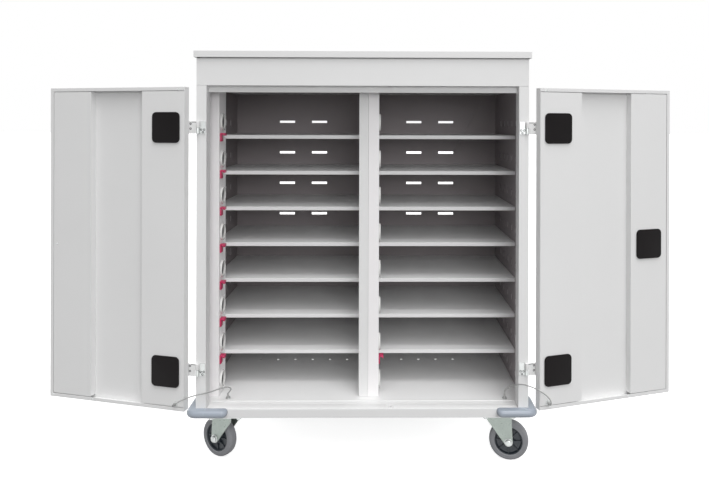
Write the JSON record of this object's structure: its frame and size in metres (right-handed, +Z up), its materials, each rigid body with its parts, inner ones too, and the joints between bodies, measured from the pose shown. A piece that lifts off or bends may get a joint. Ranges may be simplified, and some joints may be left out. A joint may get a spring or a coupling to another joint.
{
  "type": "laptop charging cart",
  "caption": "Steel laptop charging cabinet on swivel casters, with inset double doors, shelves in two columns, power channels with round sockets, a rod lock and corner bumpers.",
  "frame": {"origin": "on the floor under the middle of the cabinet", "axes": "+X to the right along the front, +Y to the back, +Z up; the doors open towards -Y"},
  "size_m": [1.6203, 0.5617, 1.043],
  "materials": {
    "powder_coat": "light grey powder coat, fine texture, satin",
    "black_plastic": "matt black moulded plastic",
    "zinc": "bright zinc plate with a faint green cast",
    "tyre": "grey rubber tyre on a dark plastic centre",
    "bumper": "soft blue-grey plastic",
    "lead": "grey insulated wire"
  },
  "bodies": {
    "cabinet": {"top_cap": "powder_coat", "lintel": "powder_coat", "back_panel": "powder_coat", "base_tray": "powder_coat", "ceiling_panel": "powder_coat", "partition": "powder_coat", "left_power_channel": "powder_coat", "right_power_channel": "powder_coat", "left_side_panel": "powder_coat", "left_liner": "powder_coat", "left_caster_rail": "zinc", "left_shelf_1": "powder_coat", "left_shelf_2": "powder_coat", "left_shelf_3": "powder_coat", "left_shelf_4": "powder_coat", "left_shelf_5": "powder_coat", "left_shelf_6": "powder_coat", "left_shelf_7": "powder_coat", "left_lower_frame_hinge": "zinc", "left_upper_frame_hinge": "zinc", "front_left_bumper": "bumper", "rear_left_bumper": "bumper", "left_earth_lead": "lead", "right_side_panel": "powder_coat", "right_liner": "powder_coat", "right_caster_rail": "zinc", "right_shelf_1": "powder_coat", "right_shelf_2": "powder_coat", "right_shelf_3": "powder_coat", "right_shelf_4": "powder_coat", "right_shelf_5": "powder_coat", "right_shelf_6": "powder_coat", "right_shelf_7": "powder_coat", "right_lower_frame_hinge": "zinc", "right_upper_frame_hinge": "zinc", "front_right_bumper": "bumper", "rear_right_bumper": "bumper", "right_earth_lead": "lead"},
    "left_door": {"left_door_pan": "powder_coat", "left_door_hinge_stiffener": "powder_coat", "left_door_free_stiffener": "powder_coat", "left_lower_hinge_cover": "black_plastic", "left_upper_hinge_cover": "black_plastic"},
    "right_door": {"right_door_pan": "powder_coat", "right_door_hinge_stiffener": "powder_coat", "right_door_free_stiffener": "powder_coat", "right_lower_hinge_cover": "black_plastic", "right_upper_hinge_cover": "black_plastic", "lock_cover": "black_plastic"},
    "lock_handle": {"lock_handle": "black_plastic"},
    "upper_lock_rod": {"upper_lock_rod": "zinc"},
    "lower_lock_rod": {"lower_lock_rod": "zinc"},
    "front_left_fork": {"front_left_caster_fork": "zinc"},
    "front_left_wheel": {"front_left_caster_wheel": "tyre"},
    "front_right_fork": {"front_right_caster_fork": "zinc"},
    "front_right_wheel": {"front_right_caster_wheel": "tyre"},
    "rear_left_fork": {"rear_left_caster_fork": "zinc"},
    "rear_left_wheel": {"rear_left_caster_wheel": "tyre"},
    "rear_right_fork": {"rear_right_caster_fork": "zinc"},
    "rear_right_wheel": {"rear_right_caster_wheel": "tyre"}
  },
  "joints": [
    {"name": "left_door_hinge", "type": "hinge", "parent": "cabinet", "child": "left_door", "pos_m": [-0.41, -0.255, 0.551], "axis": [0, 0, 1], "range_deg": [-25.5, 194.5], "deforming": ["left_earth_lead"]},
    {"name": "right_door_hinge", "type": "hinge", "parent": "cabinet", "child": "right_door", "pos_m": [0.41, -0.255, 0.551], "axis": [0, 0, 1], "range_deg": [-196.6, 23.4], "deforming": ["right_earth_lead"]},
    {"name": "lock_turn", "type": "hinge", "parent": "right_door", "child": "lock_handle", "pos_m": [0.7395, -0.16491, 0.551], "axis": [0.2857, -0.9583, 0], "range_deg": [0, 90]},
    {"name": "upper_rod_slide", "type": "slide", "parent": "right_door", "child": "upper_lock_rod", "axis": [0, 0, 1], "range_m": [0, 0.016]},
    {"name": "lower_rod_slide", "type": "slide", "parent": "right_door", "child": "lower_lock_rod", "axis": [0, 0, -1], "range_m": [0, 0.016]},
    {"name": "front_left_swivel", "type": "hinge", "parent": "cabinet", "child": "front_left_fork", "pos_m": [-0.345, -0.192, 0.115], "axis": [0, 0, 1], "continuous": true},
    {"name": "front_left_roll", "type": "hinge", "parent": "front_left_fork", "child": "front_left_wheel", "pos_m": [-0.37263, -0.17586, 0.05], "axis": [-0.5045, -0.8634, 0], "continuous": true},
    {"name": "front_right_swivel", "type": "hinge", "parent": "cabinet", "child": "front_right_fork", "pos_m": [0.345, -0.192, 0.115], "axis": [0, 0, 1], "continuous": true},
    {"name": "front_right_roll", "type": "hinge", "parent": "front_right_fork", "child": "front_right_wheel", "pos_m": [0.37616, -0.19931, 0.05], "axis": [0.2284, 0.9736, 0], "continuous": true},
    {"name": "rear_left_swivel", "type": "hinge", "parent": "cabinet", "child": "rear_left_fork", "pos_m": [-0.345, 0.192, 0.115], "axis": [0, 0, 1], "continuous": true},
    {"name": "rear_left_roll", "type": "hinge", "parent": "rear_left_fork", "child": "rear_left_wheel", "pos_m": [-0.37507, 0.20294, 0.05], "axis": [-0.342, -0.9397, 0], "continuous": true},
    {"name": "rear_right_swivel", "type": "hinge", "parent": "cabinet", "child": "rear_right_fork", "pos_m": [0.345, 0.192, 0.115], "axis": [0, 0, 1], "continuous": true},
    {"name": "rear_right_roll", "type": "hinge", "parent": "rear_right_fork", "child": "rear_right_wheel", "pos_m": [0.3763, 0.19865, 0.05], "axis": [-0.2079, 0.9781, 0], "continuous": true}
  ],
  "couplings": [
    {"joint": "upper_rod_slide", "follows": "lock_turn", "m_per_rad": 0.010185},
    {"joint": "lower_rod_slide", "follows": "lock_turn", "m_per_rad": 0.010185}
  ]
}
